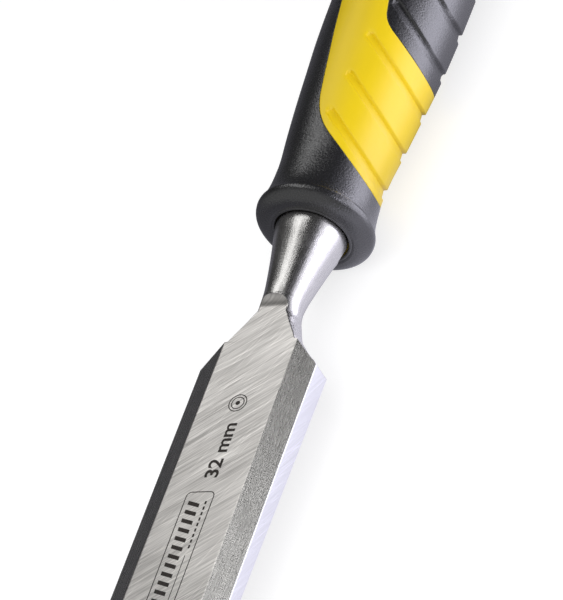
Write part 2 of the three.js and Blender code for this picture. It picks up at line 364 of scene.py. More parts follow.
def etched_ink():
    """Laser-darkened steel, slightly brown and uneven."""
    s = Shader("etched_marks")
    speck = s.span(s.noise(s.mapped((6, 6, 6)), detail=3), 0.35, 0.7)
    s.use("Base Color", s.mix(speck, (0.012, 0.010, 0.009), (0.05, 0.042, 0.036)))
    s.use("Roughness", s.span(speck, 0, 1, 0.45, 0.65))
    s.set(Metallic=0.0, Specular_IOR_Level=0.3)
    return s.material


yellow = plastic("yellow_core", (0.82, 0.59, 0.004), (0.78, 0.555, 0.003), 0.42, 1.5, 0.55, 0.012)
black = plastic("black_grip", (0.010, 0.010, 0.011), (0.015, 0.014, 0.016), 0.28, 1.56, 1.0, 0.10)
steel_top = ground_steel("steel_ground_top", (0.64, 0.62, 0.595), (0, 0, 53), (1, 0), 0.36, 0.24, 0.02)
# painted shade: the bevels' ground steel is darker than the top's
steel_bevel_painted_shade = ground_steel("steel_ground_bevel_painted_shade", (0.46, 0.445, 0.43), (0, 0, -40), (0.5, 0), 0.19, 0.42, 0.02)
# painted light: the walls' and back's ground steel is brighter than the top's and bluish like the side lights
steel_wall_painted_light = ground_steel("steel_ground_wall_painted_light", (0.84, 0.84, 0.86), (0, 28, 0), (0, 1), 0.3, 0.08, 0.006)
steel_edge = ground_steel("steel_honed_edge", (0.72, 0.72, 0.72), (0, 0, 90), (1, 0), 0.22, 0.10, 0.006)
steel_neck = polished_steel("steel_polished_neck", (0.66, 0.65, 0.635), 0.235, 0.022)
steel_cap = turned_steel("steel_turned_cap", (0.66, 0.65, 0.64), 0.30)
ink = etched_ink()


# ---------------------------------------------------------------- handle


def lift_at(x):
    """How far the handle's centre line lies above the tool's axis."""
    front = 1 - smoothstep(x, LIFT_FRONT_X, COLLAR_X - COLLAR_WALL)
    return AXIS_LIFT * front * smoothstep(x, 0, LIFT_REAR_X)


# The grips' outline: place along the tool and radius.
GRIP_CURVE = [
    (RIM_X + 2.5, RIM_RADIUS),
    (14, 16),
    (28, 16.7),
    (41, 16.85),
    (58, 16.7),
    (72, 16.2),
    (84, 15.35),
    (94, 14.6),
    (104, 13.7),
    (111, 13.2),
    (115.5, 13.3),
    (118.5, 13.5),
    (120.5, 13.75),
    (122, 14.05),
    (122.9, 14.3),
    (123.3, 14.33),
    (123.65, 14.52),
    (124.15, 14.82),
    (124.8, 14.87),
    (125.6, 14.66),
    (126.3, 14.15),
    (127.1, 13.2),
    (127.7, 12.0),
    (COLLAR_X, 10.7),
]
RING_POINTS = 168
STATION_STEP = 0.8
LIP_RADIUS = 0.45


def spread(start, end, count):
    """Points from one place to another."""
    return np.linspace(start, end, count)


def handle_stations():
    """Rows of (x, radius) along the handle: the outer skin, the grips' inner skin and the core under them."""
    curve = catmull_rom(GRIP_CURVE)
    x = np.arange(RIM_X + 3.4, WAIST_X, STATION_STEP)
    grip = np.stack([x, np.interp(x, curve[:, 0], curve[:, 1])], 1)

    pocket = CAP_RADIUS + GAP
    rim_height = np.interp(RIM_X + RIM_ROUND, *curve.T) - RIM_INNER_RADIUS
    rim = np.vstack([
        [(CORE_REAR_X, pocket), (CORE_REAR_X - 0.6, pocket)],
        arc((RIM_X + LIP_RADIUS, pocket + LIP_RADIUS), (LIP_RADIUS, LIP_RADIUS), 270, 180, 6),
        arc((RIM_X + RIM_ROUND, RIM_INNER_RADIUS), (RIM_ROUND, rim_height), 176, 95, 8),
    ])
    front = curve[curve[:, 0] >= WAIST_X]
    front = front[np.concatenate([[True], np.hypot(*np.diff(front, axis=0).T) > 0.02])][::3]
    lip = arc((COLLAR_X - 0.5, COLLAR_BORE_RADIUS + 0.5), (0.5, 0.5), 50, -90, 7)
    bore = spread((COLLAR_X - 1.2, COLLAR_BORE_RADIUS), (COLLAR_X - COLLAR_WALL + 0.3, COLLAR_BORE_RADIUS), 3)
    nose = np.vstack([front, lip, bore])

    outer = np.vstack([rim, grip, nose])
    half = len(nose) // 2
    wall_x = COLLAR_X - COLLAR_WALL
    nose_inner = np.vstack([
        spread((WAIST_X, WAIST_RADIUS - GRIP_DEPTH), (wall_x, CORE_FRONT_RADIUS), half),
        spread((wall_x, CORE_FRONT_RADIUS - 0.05), (wall_x, COLLAR_BORE_RADIUS + 0.2), len(nose) - half),
    ])
    rim_start = (CORE_REAR_X, RIM_RADIUS - 0.1 - GRIP_DEPTH)
    rim_inner = spread(rim_start, (RIM_X + 3.2, RIM_RADIUS - GRIP_DEPTH), len(rim))
    inner = np.vstack([rim_inner, grip - (0, GRIP_DEPTH), nose_inner])
    core_waist = (WAIST_X, WAIST_RADIUS - GRIP_DEPTH - GAP)
    nose_core = spread(core_waist, (CORE_FRONT_X, CORE_FRONT_RADIUS - GAP), len(nose))
    core = np.vstack([rim_inner - (0, GAP), grip - (0, GRIP_DEPTH + GAP), nose_core])
    return outer, inner, core


def around(rows):
    """Rings of points round the handle's lifted centre line, one ring for each (x, radius)."""
    a = np.linspace(0, 2 * math.pi, RING_POINTS, endpoint=False)
    x, r = rows[:, :1], rows[:, 1:]
    return np.stack([x + 0 * a, r * np.sin(a), r * np.cos(a) + lift_at(x)], 2)


def grid_normals(rings):
    """The outward unit normals of a skin over rings of points."""
    along = np.gradient(rings, axis=0)
    across = np.roll(rings, -1, 1) - np.roll(rings, 1, 1)
    normal = np.cross(across, along)
    normal /= np.linalg.norm(normal, axis=2, keepdims=True)
    outward = normal[:, :, 1] * rings[:, :, 1] + normal[:, :, 2] * rings[:, :, 2]
    return normal * np.where(outward[len(rings) // 2].mean() < 0, -1, 1)


# A point this close to a cutting line counts as on it.
ON_LINE = 0.012


class Skin:
    """Polygons over the handle. Each point holds its outer, inner and core place and its outward normal."""

    def __init__(self):
        outer, inner, core = (around(rows) for rows in handle_stations())
        self.rows = len(outer)
        data = np.concatenate([outer, inner, core, grid_normals(outer)], 2)
        self.data = data.reshape(-1, 12)
        n = RING_POINTS
        self.polygons = [
            (i * n + k, (i + 1) * n + k, (i + 1) * n + (k + 1) % n, i * n + (k + 1) % n)
            for i in range(self.rows - 1)
            for k in range(n)
        ]

    def cut(self, field, levels, reach):
        """Splits the polygons along the lines where a field seen from above has each level.

        Only polygons with a point whose field lies within reach are looked at."""
        values = field(self.data[:, 0], self.data[:, 1])
        close = np.abs(values) < reach
        near = [p for p in self.polygons if any(close[i] for i in p)]
        far = [p for p in self.polygons if not any(close[i] for i in p)]
        for level in levels:
            near, values = self.cut_once(near, values, level)
        self.polygons = far + near

    def cut_once(self, polygons, values, level):
        """Splits polygons along one level, and returns them with the field's values at all points."""
        offset = values - level
        offset[np.abs(offset) < ON_LINE] = 0
        side = np.sign(offset).astype(int).tolist()
        fresh = {}
        rows = []
        done = []
        for polygon in polygons:
            sides = [side[i] for i in polygon]
            if 1 not in sides or -1 not in sides:
                done.append(polygon)
                continue
            above, below = [], []
            for k, i in enumerate(polygon):
                j = polygon[(k + 1) % len(polygon)]
                if side[i] >= 0:
                    above.append(i)
                if side[i] <= 0:
                    below.append(i)
                if side[i] * side[j] < 0:
                    key = (min(i, j), max(i, j))
                    if key not in fresh:
                        t = offset[i] / (offset[i] - offset[j])
                        fresh[key] = len(self.data) + len(rows)
                        rows.append(self.data[i] + (self.data[j] - self.data[i]) * t)
                    above.append(fresh[key])
                    below.append(fresh[key])
            done.extend(tuple(part) for part in (above, below) if len(part) > 2)
        if rows:
            self.data = np.vstack([self.data, rows])
            values = np.concatenate([values, np.full(len(rows), level)])
        return done, values


# The yellow field's two borders seen from above.
BORDER_SLOPE = 0.134
WIDE_ROUND = 7.5
TIGHT_ROUND = 3.0


def swept_border(near, near_round, far_x, far_round):
    """A line with two rounded corners, whose ends run off both sides of the handle at 45 degrees."""
    near = np.array(near, float)
    far = np.array([far_x, near[1] - BORDER_SLOPE * (near[0] - far_x)])
    ends = near + 20, far - 20
    line = [ends[0]]
    for corner, before, after, radius in ((near, ends[0], far, near_round), (far, near, ends[1], far_round)):
        start = corner + (before - corner) * radius / np.linalg.norm(before - corner)
        end = corner + (after - corner) * radius / np.linalg.norm(after - corner)
        t = np.linspace(0, 1, 13)[:, None]
        line.extend((1 - t) ** 2 * start + 2 * t * (1 - t) * corner + t**2 * end)
    return np.array(line + [ends[1]])


def distance_to(line, side):
    """A field: the distance to a line, above zero on one of its sides."""
    a, b = line[:-1], line[1:]
    run = b - a
    length = np.hypot(*run.T)

    def field(x, y):
        best = np.full(len(x), np.inf)
        signed = np.zeros(len(x))
        for start, step, size in zip(a, run, length):
            dx, dy = x - start[0], y - start[1]
            t = np.clip((dx * step[0] + dy * step[1]) / size**2, 0, 1)
            away = np.hypot(dx - t * step[0], dy - t * step[1])
            turn = np.sign(step[0] * dy - step[1] * dx)
            closer = away < best
            best = np.where(closer, away, best)
            signed = np.where(closer, away * turn, signed)
        return signed * side

    return field


front_border = distance_to(swept_border((102.6, -0.2), WIDE_ROUND, 48, TIGHT_ROUND), 1)
rear_border = distance_to(swept_border((72.1, 8.7), TIGHT_ROUND, 28, WIDE_ROUND), -1)

# Where each groove starts, seen from above, and how far its round end reaches behind that.
CORE_GROOVES = [(100.9, 3.4), (89.4, 5.0), (77.2, 6.8), (45.0, -4.5), (33.0, -3.5)]
REAR_GROOVES = [(65.6, 9.8), (49.7, 8.0), (32.4, 5.9), (15.6, 3.8)]
GROOVE_END = 0.95

# The groove's section: place across it, with the handle's end above zero, and depth.
GROOVE_SECTION = np.array([
    (-1.52, 0.0),
    (-1.42, 0.04),
    (-1.29, 0.32),
    (-1.16, 0.47),
    (-1.00, 0.52),
    (0.05, 0.70),
    (0.30, 0.78),
    (0.46, 0.76),
    (0.74, 0.16),
    (0.86, 0.03),
    (0.98, 0.0),
])
GROOVE_ANGLE = math.radians(42)


def groove_places(start, x, y):
    """The places across and along a slanted groove that runs off the side where it starts."""
    forward, sideways = math.cos(GROOVE_ANGLE), math.sin(GROOVE_ANGLE)
    across = (y - start[1]) * forward - (x - start[0]) * sideways
    along = (x - start[0]) * forward + (y - start[1]) * sideways
    return across, along * math.copysign(1, start[1])


def groove_across(start):
    """A field: the place across a groove, stretched where its start is rounded."""

    def field(x, y):
        across, along = groove_places(start, x, y)
        width = np.sqrt(np.clip(1 - np.minimum(along / GROOVE_END, 0) ** 2, 1e-6, 1))
        return np.clip(across / width, -50, 50)

    return field


def groove_depth(start, x, y):
    """How deep a groove is at each place."""
    along = groove_places(start, x, y)[1]
    width = np.sqrt(np.clip(1 - np.minimum(along / GROOVE_END, 0) ** 2, 0, 1))
    section = np.interp(groove_across(start)(x, y), *GROOVE_SECTION.T, left=0, right=0)
    return section * width


SEAM_ROUND = 0.16
BORDER_REACH = 1.6
GROOVE_REACH = 2.6


def edge_drop(distance):
    """How far a piece's surface rolls down at its border, at a distance from it."""
    t = np.clip(1 - distance / SEAM_ROUND, 0, 1)
    return SEAM_ROUND * (1 - np.sqrt(1 - t**2))


def build_skin():
    """The handle's skin, cut along the borders' rounded edges and the grooves' sections."""
    skin = Skin()
    levels = [0.0, 0.05, 0.1, SEAM_ROUND]
    levels = sorted(set(levels + [-v for v in levels]))
    skin.cut(front_border, levels, BORDER_REACH)
    skin.cut(rear_border, levels, BORDER_REACH)
    for start in CORE_GROOVES + REAR_GROOVES:
        skin.cut(groove_across(start), GROOVE_SECTION[:, 0], GROOVE_REACH)
    return skin


def dropped(skin, drop):
    """The outer places, moved inwards along the normals."""
    return skin.data[:, :3] - skin.data[:, 9:] * drop[:, None]


def boundary_edges(polygons):
    """The directed edges that only one of the polygons has."""
    edges = {(p[k], p[(k + 1) % len(p)]) for p in polygons for k in range(len(p))}
    return [e for e in edges if (e[1], e[0]) not in edges]


def shell(skin, outer, polygons):
    """A closed shell between the outer skin and the grips' inner skin."""
    used = sorted({i for p in polygons for i in p})
    place = {i: k for k, i in enumerate(used)}
    n = len(used)
    points = np.vstack([outer[used], skin.data[used, 3:6]])
    faces = [tuple(place[i] for i in p) for p in polygons]
    faces += [tuple(place[i] + n for i in reversed(p)) for p in polygons]
    faces += [(place[b], place[a], place[a] + n, place[b] + n) for a, b in boundary_edges(polygons)]
    return points, faces


def square_ring(x, corner_radius):
    """A ring of points on a square with its corners up, down and to the sides turned by 45 degrees."""
    a = np.linspace(0, 2 * math.pi, RING_POINTS, endpoint=False)
    turned = (a + math.pi / 4) % (math.pi / 2) - math.pi / 4
    r = corner_radius * math.sqrt(0.5) / np.cos(turned)
    return np.stack([0 * a + x, r * np.sin(a), r * np.cos(a)], 1)


def round_ring(x, radius):
    """A ring of points on a circle round the tool's own axis."""
    return around(np.array([(x, radius)]))[0] - (0, 0, lift_at(x))


def core_solid(skin, outer, yellow_polygons, covered_polygons):
    """The core: flush in the yellow field, lower under the grips, with pockets for the tang and the cap."""
    n = len(skin.data)
    points = [np.vstack([outer, skin.data[:, 6:9]])]
    total = 2 * n
    faces = list(yellow_polygons)
    faces += [tuple(i + n for i in p) for p in covered_polygons]
    ends = set(range(RING_POINTS)) | set(range((skin.rows - 1) * RING_POINTS, skin.rows * RING_POINTS))
    faces += [
        (b, a, a + n, b + n)
        for a, b in boundary_edges(yellow_polygons)
        if not (a in ends and b in ends)
    ]
    clear = GAP * 0.5
    rear = [
        round_ring(CORE_REAR_X, CAP_STEM_RADIUS + clear),
        round_ring(STEM_END_X + clear, CAP_STEM_RADIUS + clear),
    ]
    front = [
        square_ring(CORE_FRONT_X, TANG_ROOT_RADIUS + clear),
        square_ring(TANG_END_X - clear, TANG_TIP_RADIUS + clear),
    ]
    for first, rings, flip in ((n, rear, True), (n + (skin.rows - 1) * RING_POINTS, front, False)):
        before = list(range(first, first + RING_POINTS))
        for ring in rings:
            now = list(range(total, total + RING_POINTS))
            points.append(ring)
            total += RING_POINTS
            for k in range(RING_POINTS):
                j = (k + 1) % RING_POINTS
                quad = (before[k], now[k], now[j], before[j])
                faces.append(quad[::-1] if flip else quad)
            before = now
        points.append(rings[-1].mean(0, keepdims=True))
        for k in range(RING_POINTS):
            triangle = (before[k], total, before[(k + 1) % RING_POINTS])
            faces.append(triangle[::-1] if flip else triangle)
        total += 1
    points = np.vstack(points)
    used = sorted({i for f in faces for i in f})
    place = {i: k for k, i in enumerate(used)}
    return points[used], [tuple(place[i] for i in f) for f in faces]


def make_handle():
    skin = build_skin()
    x, y = skin.data[:, 0], skin.data[:, 1]
    ahead, behind = front_border(x, y), rear_border(x, y)
    clean = [np.where(np.abs(values) < ON_LINE, 0, values) for values in (ahead, behind)]

    def over(values, polygon):
        inside = [values[i] for i in polygon]
        return max(inside) > -min(inside)

    front = [p for p in skin.polygons if over(clean[0], p)]
    rear = [p for p in skin.polygons if over(clean[1], p)]
    taken = set(front) | set(rear)
    middle = [p for p in skin.polygons if p not in taken]

    core_drop = edge_drop(np.minimum(np.abs(ahead), np.abs(behind)))
    core_drop += sum(groove_depth(g, x, y) for g in CORE_GROOVES)
    rear_drop = edge_drop(np.abs(behind)) + sum(groove_depth(g, x, y) for g in REAR_GROOVES)
    front_drop = edge_drop(np.abs(ahead))

    front_shell = shell(skin, dropped(skin, front_drop), front)
    rear_shell = shell(skin, dropped(skin, rear_drop), rear)
    core = core_solid(skin, dropped(skin, core_drop), middle, front + rear)
    pieces = [
        (front_shell, black, "front_grip", "grip_rubber"),
        (rear_shell, black, "rear_grip", "grip_rubber"),
        (core, yellow, "handle_core", "core_plastic"),
    ]
    for (points, faces), material, node, slot in pieces:
        piece = make_piece(node + "_moulding", points, faces, [material], 40)
        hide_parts(node)


# ---------------------------------------------------------------- strike cap


def make_cap():
    """The steel cap with a rounded rim, a shallow turned step, and its stem."""
    crown = CAP_RADIUS - 1.8
    profile = np.vstack([
        [(0.0, 4.0), (0.0, 8.0), (0.0, crown - 0.3)],
        arc((1.8, crown), (1.8, 1.8), 175, 95, 10),
        [(2.4, CAP_RADIUS), (3.9, CAP_RADIUS), (4.1, CAP_RADIUS - 0.12), (4.3, CAP_RADIUS)],
        [(CAP_THICKNESS - 0.15, CAP_RADIUS), (CAP_THICKNESS, CAP_RADIUS - 0.15)],
        [(CAP_THICKNESS, CAP_STEM_RADIUS), (STEM_END_X - 0.5, CAP_STEM_RADIUS)],
        [(STEM_END_X, CAP_STEM_RADIUS - 0.5)],
    ])
    a = np.linspace(0, 2 * math.pi, 128, endpoint=False)
    rings = [np.stack([0 * a + x, r * np.sin(a), r * np.cos(a)], 1)[::-1] for x, r in profile]
    points, faces = loft(rings)
    piece = make_piece("strike_cap_steel", points, faces, [steel_cap], 30)
    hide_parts("strike_cap")


# ---------------------------------------------------------------- blade


def top_z(x):
    """The height of the ground top, which slopes down towards the cutting edge."""
    return BACK_Z + SHOULDER_THICKNESS - THICKNESS_TAPER * (x - SHOULDER_X)


def wall_top_z(x):
    """The height of the side wall's upper edge."""
    return BACK_Z + WALL_HEIGHT - WALL_TAPER * (x - SHOULDER_X)


def top_cut(x):
    """The height that grinding leaves at a place along the tool, or far above where the bolster is whole."""
    if x < RUNOUT_X - RUNOUT_RADIUS * 0.98:
        return NOT_GROUND
    if x < RUNOUT_X:
        share = (RUNOUT_X - x) / RUNOUT_RADIUS
        return top_z(RUNOUT_X) + RUNOUT_RADIUS * (1 - (1 - share**RUNOUT_POWER) ** (1 / RUNOUT_POWER))
    return min(top_z(x), BACK_Z + EDGE_LAND + (EDGE_X - x) * EDGE_BEVEL)


# The neck's sections: reach from the collar, half width and half height.
NECK_CURVE = catmull_rom([
    (-3.2, BOLSTER_RADIUS, BOLSTER_RADIUS),
    (0, BOLSTER_RADIUS, BOLSTER_RADIUS),
    (3.5, 8.38, 8.38),
    (7, 7.6, 7.6),
    (11, 6.8, 6.8),
    (15, 6.1, 6.1),
    (19, 5.47, 5.47),
    (22, 5.25, 5.22),
    (25, 5.6, 4.95),
    (27, 6.25, 5.02),
    (29, 7.1, 5.2),
    (31, 8.1, 5.5),
    (33, 9.2, 5.85),
    (34.3, 9.95, 6.0),
    (36, 11.4, 6.1),
    (38, 13.45, 6.1),
    (40.4, 15.9, 6.1),
    (44, 16.0, 6.1),
])


def soft_max(a, b, blend):
    """The larger of two values, with a fillet where they are close."""
    return np.maximum(a, b) + np.maximum(blend - np.abs(a - b), 0) ** 2 / (4 * blend)


def blade_section(x):
    """One side of the blade's section at a place along the tool, from its top's to its back's middle."""
    reach = x - COLLAR_X
    half_width, half_height = (np.interp(reach, NECK_CURVE[:, 0], NECK_CURVE[:, k]) for k in (1, 2))
    neck_centre = (BACK_Z + half_height) * float(smoothstep(reach, 21, 25.5))
    ceiling = top_cut(x)
    whole = ceiling == NOT_GROUND
    plate = float(smoothstep(x, FULL_WIDTH_X, FULL_WIDTH_X + 6))
    power = 2 + FLARE_SQUARENESS * float(smoothstep(reach, 25, 28) * (1 - smoothstep(reach, 30, 36)))
    centre = neck_centre * (1 - plate) + (BACK_Z + min(ceiling, top_z(x))) / 2 * plate
    bevel_foot = wall_top_z(x)

    # The plate seen from above: its diagonal shoulder, and its narrowing end under the neck.
    if x >= SHOULDER_X:
        plate_half = min(HALF_WIDTH, SHOULDER_HALF_WIDTH + (x - SHOULDER_X))
        bevel_gap = 0.0
    else:
        plate_half = max(0.5, SHOULDER_HALF_WIDTH - PLATE_END_SLOPE * (SHOULDER_X - x))
        bevel_gap = BEVEL_END_SLOPE * (SHOULDER_X - x)

    def bevel_y(z):
        return HALF_WIDTH + bevel_gap - (z - bevel_foot) * BEVEL_SPREAD

    # The angles at which each corner's chamfer starts and ends. A whole section is round, without corners.
    if whole:
        edge_1 = (0.05, 0.2)
        edge_2 = (0.3, 0.4)
        edge_3 = (1.9, 1.95)
    else:
        share = min(abs(ceiling - neck_centre) / half_height, 1)
        neck_half = half_width * (1 - share**power) ** (1 / power)
        on_plate = x >= SHOULDER_X
        top_half = min(bevel_y(ceiling), plate_half) if on_plate else neck_half
        foot = ceiling - 0.4
        if on_plate:
            foot = min(bevel_foot + (HALF_WIDTH - plate_half) / BEVEL_SPREAD, ceiling)
        foot_half = plate_half if on_plate else neck_half + 0.25
        down_left = np.array([foot_half - top_half, foot - ceiling])
        size = max(np.hypot(*down_left), 0.02)
        step = down_left / size * min(CHAMFER, 0.35 * size)
        angle = lambda y, z: math.atan2(y, z - centre)
        edge_1 = (angle(top_half - CHAMFER, ceiling), angle(top_half + step[0], ceiling + step[1]))
        edge_2 = (angle(foot_half - step[0], foot - step[1]), angle(foot_half, foot - CHAMFER))
        base_half = plate_half if on_plate else SHOULDER_HALF_WIDTH
        edge_3 = (angle(base_half, BACK_Z + CHAMFER), angle(base_half - CHAMFER, BACK_Z))
    angles = np.concatenate([
        np.linspace(0, edge_1[0], 8),
        np.linspace(edge_1[1], edge_2[0], 6),
        np.linspace(edge_2[1], edge_3[0], 24),
        np.linspace(edge_3[1], math.pi, 8),
    ])
    angles = np.maximum.accumulate(angles + 1e-5 * np.arange(len(angles)) / len(angles))
    sin, cos = np.sin(angles), np.cos(angles)

    # Each surface as a distance from the section's centre.
    neck = (np.abs(sin / half_width) ** power + np.abs(cos / half_height) ** power) ** (-1 / power)
    side = np.where(sin > 1e-9, plate_half / np.maximum(sin, 1e-9), 1e6)
    down = np.where(cos < -1e-9, (BACK_Z - centre) / np.minimum(cos, -1e-9), 1e6)
    up = np.where(cos > 1e-9, (ceiling - centre) / np.maximum(cos, 1e-9), 1e6)
    leaning = cos * BEVEL_SPREAD + sin
    bevel = np.where(leaning > 1e-9, bevel_y(centre) / np.maximum(leaning, 1e-9), 1e6)
    body = np.minimum(side, down)
    if x < SHOULDER_X:
        blend = 0.01 + 0.9 * float(smoothstep(x, SHOULDER_X - 5.5, SHOULDER_X))
        joined = neck + (soft_max(neck, body, blend) - neck) * smoothstep(-cos, -0.05, 0.35)
    elif x < FULL_WIDTH_X:
        joined = soft_max(neck, body, 0.01 + 0.3 * (FULL_WIDTH_X - x) / (FULL_WIDTH_X - SHOULDER_X))
    else:
        joined = body
    if x > SHOULDER_X - 2:
        joined = np.minimum(joined, bevel)
    radius = np.minimum(np.minimum(joined, down), up)
    return np.stack([radius * sin, centre + radius * cos], 1)


def blade_stations():
    """The places along the blade where its section is taken, closer together where it changes fast."""
    runout = RUNOUT_X - RUNOUT_RADIUS * np.sin(np.radians(np.arange(76, 0, -4)))
    tip_x = EDGE_X - (top_z(EDGE_X) - BACK_Z - EDGE_LAND) / (EDGE_BEVEL + THICKNESS_TAPER)
    wall_x = EDGE_X - (wall_top_z(EDGE_X) - BACK_Z - EDGE_LAND) / (EDGE_BEVEL + WALL_TAPER)
    x = np.concatenate([
        [SEAT_X, SEAT_X + 0.15],
        np.arange(SEAT_X + 0.6, RUNOUT_X - RUNOUT_RADIUS, 0.5),
        runout,
        np.arange(RUNOUT_X + 0.05, SHOULDER_X - 0.2, 0.25),
        SHOULDER_X + np.array([-0.06, 0.06]),
        np.arange(SHOULDER_X + 0.25, FULL_WIDTH_X - 0.15, 0.22),
        FULL_WIDTH_X + np.array([-0.05, 0.05]),
        np.arange(FULL_WIDTH_X + 1, tip_x - 1, 2.0),
        tip_x + np.array([-0.1, 0.1]),
        np.arange(tip_x + 0.6, wall_x - 0.3, 0.5),
        wall_x + np.array([-0.06, 0.06]),
        np.arange(wall_x + 0.6, EDGE_X - 0.3, 0.6),
        [EDGE_X - 0.05, EDGE_X],
    ])
    return np.unique(x)


def tang_rings(count):
    """The square tang from its tip to the bolster's seat, as rings with the blade's number of points."""
    a = 2 * math.pi * np.arange(count) / count
    turned = (a + math.pi / 4) % (math.pi / 2) - math.pi / 4
    unit = math.sqrt(0.5) / np.cos(turned)
    ring = lambda x, r: np.stack([0 * a + x, r * unit * np.sin(a), r * unit * np.cos(a)], 1)
    return [
        ring(TANG_END_X, TANG_TIP_RADIUS - 0.5),
        ring(TANG_END_X + 0.5, TANG_TIP_RADIUS),
        ring(SEAT_X - 0.3, TANG_ROOT_RADIUS - 0.1),
        ring(SEAT_X, TANG_ROOT_RADIUS),
    ]


NECK_FINISH, TOP_FINISH, BEVEL_FINISH_AND_SHADE, WALL_FINISH_AND_LIGHT, EDGE_FINISH = range(5)
finish_materials = {
    NECK_FINISH: steel_neck,
    TOP_FINISH: steel_top,
    BEVEL_FINISH_AND_SHADE: steel_bevel_painted_shade,
    WALL_FINISH_AND_LIGHT: steel_wall_painted_light,
    EDGE_FINISH: steel_edge,
}


def make_blade():
    """The blade, the bolster and the tang as one skin, with a finish for each kind of face. The bevels'
    finish also carries painted shade, and the walls' finish carries painted light.
    """
    rings = []
    for x in blade_stations():
        half = blade_section(x)
        mirrored = half[1:-1][::-1] * (-1, 1)
        yz = np.vstack([half, mirrored])
        rings.append(np.column_stack([np.full(len(yz), x), yz]))
    rings = tang_rings(len(rings[0])) + rings
    points, faces = loft(rings)
    points = np.array(points)
    normals = face_normals(points, faces)
    middles = np.array([points[list(f)].mean(0) for f in faces])
    slots = [finish_materials[k] for k in sorted(finish_materials)]
    piece = make_piece("blade_steel", points, faces, slots, 9, blade_finish(middles, normals))
    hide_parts("blade")


def face_normals(points, faces):
    """The unit normals of faces with three or four corners, some of which may fall together."""
    corners = np.array([points[[f[0], f[1], f[2]]] for f in faces])
    far = np.array([points[f[-1]] for f in faces])
    normal = np.cross(corners[:, 2] - corners[:, 0], far - corners[:, 1])
    flat = np.linalg.norm(normal, axis=1) < 1e-12
    other = np.cross(corners[:, 1] - corners[:, 0], corners[:, 2] - corners[:, 0])
    normal[flat] = other[flat]
    return normal / np.maximum(np.linalg.norm(normal, axis=1, keepdims=True), 1e-12)


def blade_finish(middles, normals):
    """Which finish each face has, from its place and the way it faces. The bevels get darker steel as painted
    shade, and the walls and the flat back get brighter, bluish steel as painted light.
    """
    x, z = middles[:, 0], middles[:, 2]
    finish = np.full(len(x), NECK_FINISH)
    ceiling = np.array([top_cut(v) for v in x])
    on_top = (x > RUNOUT_X - RUNOUT_RADIUS) & (z > ceiling - 0.05) & (np.abs(normals[:, 1]) < 0.2)
    on_plate = x > SHOULDER_X
    side = np.abs(normals[:, 1])
    # painted shade: the bevels get the darker steel
    finish[on_plate & (side > 0.2) & (side < 0.6) & (normals[:, 2] > 0.5)] = BEVEL_FINISH_AND_SHADE
    # painted light: the walls and the flat back get the brighter, bluish steel
    finish[on_plate & (x > FULL_WIDTH_X) & (side > 0.6)] = WALL_FINISH_AND_LIGHT
    finish[on_plate & (normals[:, 2] < -0.9) & (z < BACK_Z + 0.05)] = WALL_FINISH_AND_LIGHT
    finish[on_top] = TOP_FINISH
    finish[(x > SHOULDER_X) & (normals[:, 0] > 0.3) & (normals[:, 2] > 0.3)] = EDGE_FINISH
    return finish


# ---------------------------------------------------------------- etched marks

ETCH_HEIGHT = 0.012
WIDTH_TEXT = f"{2 * HALF_WIDTH:.0f} mm"


class Etching:
    """Flat shapes on the ground top. Their own u runs along +X and v along +Y, in millimetres."""

    def __init__(self):
        self.points = []
        self.faces = []

    def add(self, outline, hole=None):
        """A thin plate with a convex outline, or a band between two outlines with as many points."""
        ring = outline if hole is None else outline + hole
        n, first = len(outline), len(self.points)
        for height in (ETCH_HEIGHT, -ETCH_HEIGHT):
            self.points += [(u, v, top_z(u) + height) for u, v in ring]
        m = len(ring)
        if hole is None:
            self.faces.append(tuple(range(first, first + n)))
            self.faces.append(tuple(reversed(range(first + m, first + m + n))))
        for k in range(n):
            j = (k + 1) % n
            self.faces.append((first + j, first + k, first + m + k, first + m + j))
            if hole is not None:
                self.faces.append((first + k, first + j, first + n + j, first + n + k))
                self.faces.append((first + m + j, first + m + k, first + m + n + k, first + m + n + j))
                self.faces.append((first + n + k, first + n + j, first + m + n + j, first + m + n + k))

    def box(self, u0, v0, u1, v1, slant=0.0):
        self.add([(u0, v0), (u1, v0), (u1 + slant, v1), (u0 + slant, v1)])

    def text(self, body, u_start, u_end, v_base, v_top):
        """Bold lettering fitted to a box. It reads from u_start to u_end with its foot at v_base."""
        curve = bpy.data.curves.new("etched_text", "FONT")
        curve.body = body
        curve.offset = 0.022
        curve.extrude = 0.5
        curve.resolution_u = 6
        letters = bpy.data.objects.new("etched_text", curve)
        mesh = letters.to_mesh()
        raw = np.array([v.co for v in mesh.vertices])
        low, high = raw.min(0), raw.max(0)
        unit = (raw - low) / (high - low)
        u = u_start + unit[:, 0] * (u_end - u_start)
        v = v_base + unit[:, 1] * (v_top - v_base)
        z = top_z(u) + (unit[:, 2] * 2 - 1) * ETCH_HEIGHT
        first = len(self.points)
        self.points += list(zip(u, v, z))
        self.faces += [tuple(first + i for i in p.vertices) for p in mesh.polygons]
        letters.to_mesh_clear()
        bpy.data.objects.remove(letters)
        bpy.data.curves.remove(curve)


def circle(u, v, radius, count=48):
    a = np.linspace(0, 2 * math.pi, count, endpoint=False)
    return list(zip(u + radius * np.cos(a), v + radius * np.sin(a)))


def rounded_box(u0, v0, u1, v1, radius):
    corners = ((u1 - radius, v1 - radius, 0), (u0 + radius, v1 - radius, 90),
               (u0 + radius, v0 + radius, 180), (u1 - radius, v0 + radius, 270))
    return [tuple(p) for u, v, a in corners for p in arc((u, v), (radius, radius), a, a + 90, 8)]


